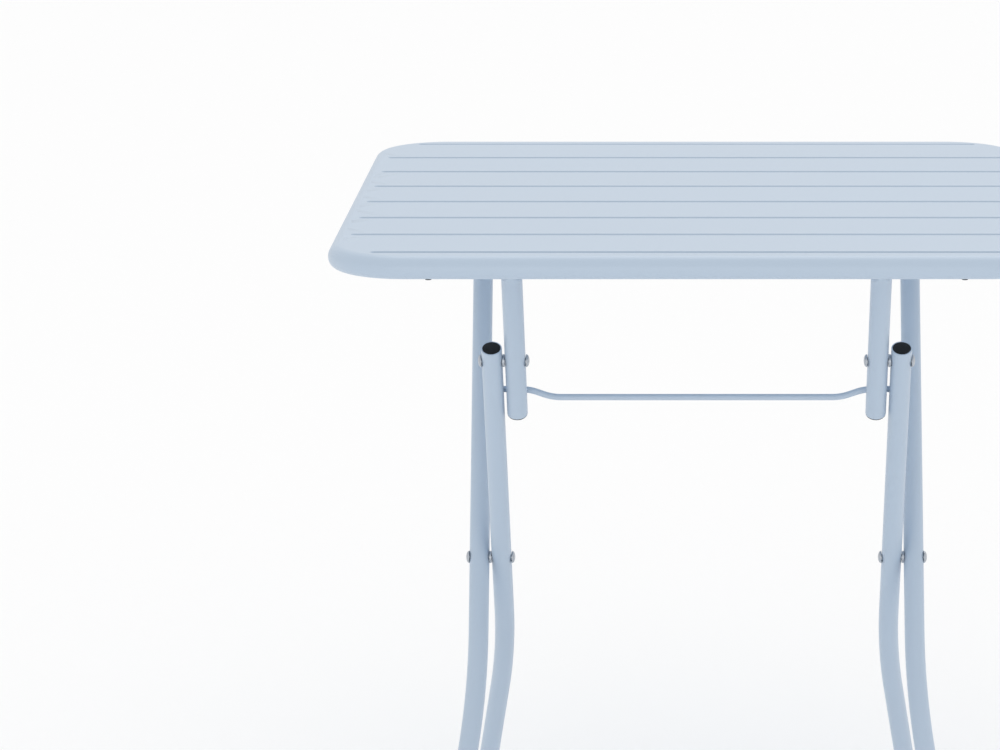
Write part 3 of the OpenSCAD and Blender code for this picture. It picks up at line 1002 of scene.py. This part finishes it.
weldForm = {"beadLength": 15 * mm, "ripple": 1.7 * mm, "rows": 7, "railBead": 1.3 * mm,
            "railDrop": 1.0 * mm}


def beadProfile(radius, length, ripple=0.05):
    # a rippled weld bead along local X
    profile = []
    for i in range(33):
        t = -1 + i / 16
        wave = 1 + ripple * math.cos(math.pi * length * t / weldForm["ripple"])
        profile.append((t * length / 2, radius * math.sqrt(max(0.0, 1 - t ** 4)) * wave))
    profile[0] = (-length / 2, 0.0)
    profile[-1] = (length / 2, 0.0)
    return profile


rodForm = {"radius": 3.25 * mm, "below": 52 * mm, "drop": 11.2 * mm, "gap": 0.3 * mm, "bend": 42 * mm,
           "shoulder": 11.5 * mm, "valley": 35.5 * mm, "weld": 4.3 * mm, "weldLength": 13 * mm}


def makeStopRod():
    place = legFrame(innerUp, knee, 0)
    behind = tubeRadius + rodForm["radius"] + rodForm["gap"]
    high, low = -rodForm["below"], -rodForm["below"] - rodForm["drop"]
    right = [Vector((innerX + tubeRadius * 0.6, behind, high)),
             Vector((strutX - rodForm["shoulder"], behind, high)),
             Vector((strutX - rodForm["valley"], behind, low))]
    path = [place @ p for p in mirrorCopy(right) + right[::-1]]
    rod = sweepTube("stopRod", [path], rodForm["radius"], rodForm["bend"], blueCoat, sides=24)
    spots = bothSides(place @ Vector((innerX, behind - 1.3 * mm, high)))
    shape = lathe(beadProfile(rodForm["weld"], rodForm["weldLength"]), 24)
    joinInto(rod, placeCopies("rodWelds", shape, spots, [(0.0, 0.0, 0.0)] * 2, weldCoat))
    return finishPiece(rod, "inner_legs", "blue_powder_coat", "stop_rod")


def makeRailWelds():
    # short stitch welds where each rail's walls meet the sheet, between the grooves
    low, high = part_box("rail_right")
    shape = lathe(beadProfile(weldForm["railBead"], weldForm["beadLength"]), 16)
    spots, turns = [], []
    for i in range(weldForm["rows"]):
        y = (i - (weldForm["rows"] - 1) / 2) * topForm["pitch"]
        for x in (low.x, high.x):
            spots += bothSides(Vector((x, y, high.z - weldForm["railDrop"])))
            turns += [(0.0, 0.0, math.pi / 2)] * 2
    welds = placeCopies("railWelds", shape, spots, turns, weldCoat)
    finishPiece(welds, "tabletop", "blue_powder_coat")


makeStopRod()
makeRailWelds()
print("stop rod and welds made")

# caps and feet

capForm = {"dome": 1.1 * mm, "flange": 1.5 * mm, "insert": 12 * mm, "footRadius": 12.5 * mm,
           "footCover": 26 * mm, "ribs": 18, "ribHeight": 0.6 * mm, "ribWidth": 1.7 * mm,
           "ribSunk": 0.2 * mm}


def turnedOnLeg(name, profile, up, origin, x, material):
    # a turned part whose axis lies along a leg; local x of the profile points up the leg
    points, faces = lathe(profile)
    onLeg = legFrame(up, origin, x) @ Matrix.Rotation(-math.pi / 2, 4, "Y")
    right = [onLeg @ p for p in points]
    left = mirrorCopy(right)
    shift = len(right)
    both = faces + [tuple(shift + i for i in reversed(f)) for f in faces]
    mesh = meshFrom(name, right + left, both)
    sharpen(mesh)
    return newObject(name, mesh, material)


def makeEndCaps():
    bore = tubeRadius - legForm["wall"]
    top = legForm["overKnee"]
    dome = capForm["dome"]
    profile = [(top - 8 * mm, 0.0), (top - 8 * mm, bore - 0.2 * mm), (top - 0.3 * mm, bore - 0.2 * mm),
               (top, bore + 0.3 * mm)]
    for i in range(1, 9):
        a = math.pi / 2 * i / 8
        profile.append((top + dome * math.sin(a), (bore + 0.3 * mm) * math.cos(a) if i < 8 else 0.0))
    caps = turnedOnLeg("legTopCaps", profile, innerUp, knee, innerX, blackPlastic)
    finishPiece(caps, "inner_legs", "black_plastic", "inner_top_caps")
    tail = -strutForm["tail"]
    rim = tubeRadius - 0.2 * mm
    flange = capForm["flange"]
    face, tip = tail - flange, tail + capForm["insert"]
    profile = [(face, 0.0), (face, rim - 1.0 * mm), (face + 0.4 * mm, rim - 0.3 * mm),
               (face + 0.9 * mm, rim), (tail, rim), (tail, bore), (tip, bore - 0.4 * mm), (tip, 0.0)]
    plugs = turnedOnLeg("strutPlugs", profile, innerUp, knee, strutX, blackPlastic)
    finishPiece(plugs, "struts", "black_plastic", "strut_end_plugs")


makeEndCaps()
print("end caps made")


def ribShape(length, width, height):
    # one grip rib: a low rounded bar along local Z, standing on the cap's skin towards +X
    points = []
    ends = np.linspace(-1, 1, 13)
    arc = [math.pi * (i / 6 - 0.5) for i in range(7)]
    for t in ends:
        fade = math.sqrt(max(0.0, 1 - t ** 6))
        for a in arc:
            out = height * math.cos(a) * fade - capForm["ribSunk"]
            points.append(Vector((out, width / 2 * math.sin(a), t * length / 2)))
    return points, ringFaces(len(ends), len(arc))


def makeFoot(side, sign, kind, up, x):
    # ribbed cap on a leg's lower end, cut level with the floor
    lean = math.acos(up.z)
    splay, _, bendEnd = splayBend()
    rest = (cross.z / math.cos(lean) + bendEnd.z) / math.cos(splay)
    place = legFrame(up, cross, x) @ Matrix.Translation(bendEnd) @ Matrix.Rotation(-splay, 4, "Y")
    place = place @ Matrix.Translation(Vector((0, 0, -rest)))
    axis = (place.to_3x3() @ Vector((0, 0, 1))).normalized()
    steps = 72
    cover = legForm["tubeBack"] + capForm["footCover"]
    outer = capForm["footRadius"]
    skin = outer - capForm["ribHeight"]
    levels = [(cover, tubeRadius + 0.05 * mm), (cover, outer - 0.9 * mm),
              (cover - 0.4 * mm, outer - 0.3 * mm), (cover - 1.2 * mm, outer), (cover - 4 * mm, outer), (cover - 4.8 * mm, skin), (10.8 * mm, skin),
              (10 * mm, outer), (8.5 * mm, outer)]
    turns = [2 * math.pi * i / steps for i in range(steps)]
    rings = [[place @ Vector((r * math.cos(a), r * math.sin(a), z)) for a in turns] for z, r in levels]
    for lift, draw in ((1.2 * mm, 0.0), (0.4 * mm, 0.35 * mm), (0.0, 1.1 * mm)):
        # the last rings are run down the cap's axis to just above and on the floor
        reach = outer - draw
        ring = [place @ Vector((reach * math.cos(a), reach * math.sin(a), 8.5 * mm)) for a in turns]
        rings.append([p - axis * ((p.z - lift) / axis.z) for p in ring])
    points = []
    for ring in rings:
        points += ring if sign > 0 else mirrorCopy(ring)
    name = kind + "Foot_" + side
    foot = newObject(name, meshFrom(name, points, ringFaces(len(rings), steps)), footPlastic)
    flip = Matrix.Diagonal((sign, 1, 1))
    middle = (cover - 4.4 * mm + 10.4 * mm) / 2
    spots, angles = [], []
    for i in range(capForm["ribs"]):
        a = 2 * math.pi * i / capForm["ribs"]
        spots.append(flip @ (place @ Vector((skin * math.cos(a), skin * math.sin(a), middle))))
        turn = flip @ place.to_3x3() @ flip @ Matrix.Rotation(a if sign > 0 else math.pi - a, 3, "Z")
        angles.append(turn.to_euler())
    shape = ribShape(cover - 15.4 * mm, capForm["ribWidth"], capForm["ribHeight"] + capForm["ribSunk"])
    ribs = placeCopies(kind + "Ribs_" + side, shape, spots, angles, footPlastic)
    joinInto(foot, ribs)
    return finishPiece(foot, kind + "_legs", "black_plastic", kind + "_foot_" + side)


for sideName, sideSign in (("right", 1), ("left", -1)):
    makeFoot(sideName, sideSign, "inner", innerUp, innerX)
    makeFoot(sideName, sideSign, "outer", outerUp, outerX)
print("feet made")

# rails, brackets, saddles and bumpers: CAD shapes with their edges broken

edgeBreak = {"rail": 0.3 * mm, "bracket": 0.45 * mm, "saddle": 0.45 * mm, "bumper": 0.8 * mm}


def softenedCopy(node, name, width, material, steps=2):
    mesh = frame["nodes"][node].data.copy()
    mesh.name = name
    work = bmesh.new()
    work.from_mesh(mesh)
    bmesh.ops.remove_doubles(work, verts=work.verts, dist=2e-6)
    bmesh.ops.dissolve_limit(work, angle_limit=math.radians(1.0), verts=work.verts, edges=work.edges)
    sharp = [e for e in work.edges if len(e.link_faces) == 2 and e.calc_face_angle() > math.radians(40)]
    bmesh.ops.bevel(work, geom=sharp, offset=width, segments=steps, profile=0.5, affect="EDGES",
                    clamp_overlap=True)
    bmesh.ops.triangulate(work, faces=[f for f in work.faces if len(f.verts) > 4])
    work.to_mesh(mesh)
    work.free()
    sharpen(mesh, 30)
    return newObject(name, mesh, material)


def makeUnderside():
    for side in ("left", "right"):
        for node, kind in (("rail_", "rail"), ("front_bracket_", "bracket"), ("rear_saddle_", "saddle")):
            piece = softenedCopy(node + side, kind + "_" + side, edgeBreak[kind], blueCoat)
            finishPiece(piece, "tabletop", "blue_powder_coat", node + side)
    pads = softenedCopy("rim_bumpers", "rimBumpers", edgeBreak["bumper"], blackRubber)
    finishPiece(pads, "tabletop", "black_rubber", "rim_bumpers")


makeUnderside()
print("rails, brackets and bumpers made")
